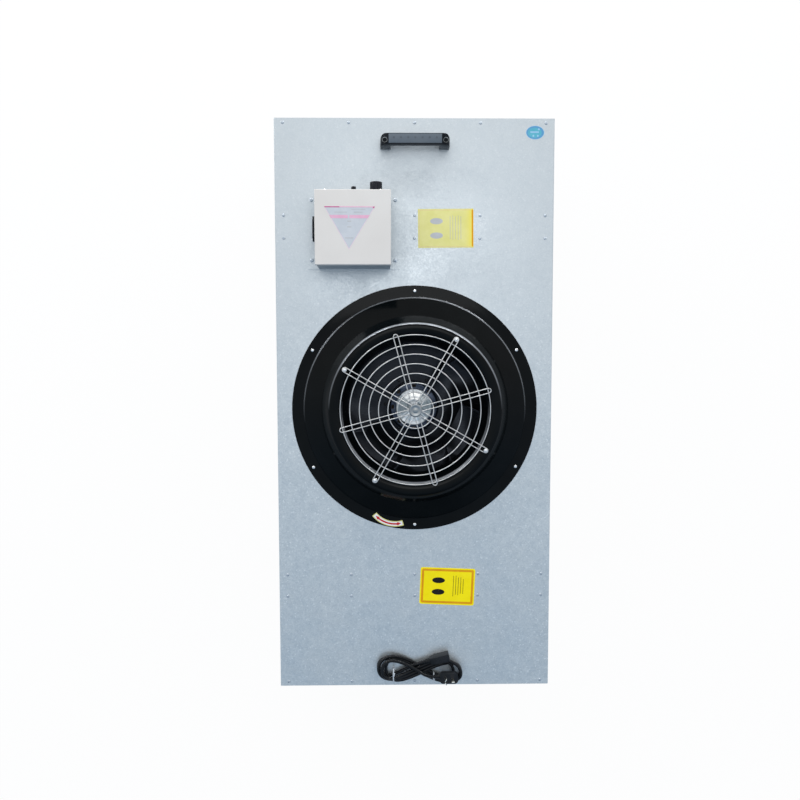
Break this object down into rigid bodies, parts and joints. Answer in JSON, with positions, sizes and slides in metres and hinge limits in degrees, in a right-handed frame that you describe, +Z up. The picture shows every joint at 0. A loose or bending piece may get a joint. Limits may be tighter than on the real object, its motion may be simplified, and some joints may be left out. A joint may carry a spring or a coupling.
{
  "type": "fan filter unit",
  "caption": "Clean-room ceiling fan filter unit: galvanised casing, raised black inlet ring with wire guard over a centrifugal fan, control box, bridge handle and pleated filter below.",
  "frame": {"origin": "centre of the underside of the filter frame", "axes": "+Z up out of the air inlet, +Y along the length towards the handle, +X across"},
  "size_m": [0.5782, 1.1882, 0.4],
  "materials": {
    "galvanised": "hot-dip galvanised sheet with a fine spangle",
    "rivet_metal": "plain aluminium rivet heads",
    "ring_black": "deep gloss black coating on spun sheet",
    "screw_zinc": "bright zinc plate",
    "guard_chrome": "bright nickel-plated wire",
    "motor_dark": "black painted casting",
    "lamination": "varnished laminations",
    "bearing_steel": "ground steel",
    "cap_aluminium": "turned aluminium",
    "impeller_metal": "mill-finish aluminium sheet",
    "cable_black": "smooth black cable sheath",
    "rubber_black": "moulded black rubber",
    "box_cream": "fine cream powder coat",
    "plastic_black": "moulded black plastic",
    "pin_brass": "nickelled brass pins",
    "capacitor_white": "white plastic can",
    "terminal_grey": "pale nylon",
    "handle_black": "textured black nylon",
    "frame_aluminium": "natural anodised extrusion",
    "media_white": "glass-fibre paper",
    "guard_white": "white powder coat",
    "gasket_black": "closed-cell foam",
    "tie_white": "white plastic-covered wire"
  },
  "bodies": {
    "housing": {"casing_shell": "galvanised", "end_plate_top": "galvanised", "end_plate_bottom": "galvanised", "roof_rivets": "rivet_metal", "baffle_top": "galvanised", "baffle_bottom": "galvanised", "inlet_ring": "ring_black", "ring_screws": "screw_zinc", "guard_rings": "guard_chrome", "guard_spokes": "guard_chrome", "guard_button": "guard_chrome", "guard_screws": "screw_zinc", "motor_plate": "galvanised", "motor_plate_bolts": "screw_zinc", "motor_stator": "motor_dark", "stator_bolts": "screw_zinc", "stator_core": "lamination", "motor_bearings": "bearing_steel", "motor_lead": "cable_black", "lead_grommet": "rubber_black", "box_mounting_plate": "galvanised", "box_plate_screws": "screw_zinc", "control_box_body": "box_cream", "control_box_lid": "box_cream", "lid_screws": "screw_zinc", "speed_regulator": "plastic_black", "regulator_nut": "screw_zinc", "fuse_holder": "plastic_black", "iec_inlet": "plastic_black", "inlet_pins": "pin_brass", "inlet_screws": "screw_zinc", "run_capacitor": "capacitor_white", "terminal_block": "terminal_grey", "handle": "handle_black", "handle_screws": "screw_zinc", "filter_frame": "frame_aluminium", "filter_media": "media_white", "filter_guard": "guard_white", "filter_gasket": "gasket_black", "filter_straps": "galvanised", "strap_screws": "screw_zinc", "cord_hank": "cable_black", "cord_connector": "rubber_black", "cord_plug": "rubber_black", "plug_pins": "pin_brass", "cord_ties": "tie_white"},
    "fan": {"rotor_shell": "motor_dark", "bearing_cap": "cap_aluminium", "rotor_shaft": "bearing_steel", "impeller": "impeller_metal", "impeller_bolts": "screw_zinc"},
    "knob": {"speed_knob": "plastic_black", "knob_shaft": "bearing_steel"}
  },
  "joints": [
    {"name": "fan_spin", "type": "hinge", "parent": "housing", "child": "fan", "pos_m": [0, 0, 0.22], "axis": [0, 0, 1], "continuous": true},
    {"name": "knob_turn", "type": "hinge", "parent": "housing", "child": "knob", "pos_m": [-0.078, 0.44, 0.36], "axis": [0, 1, 0], "range_deg": [0, 300]}
  ]
}
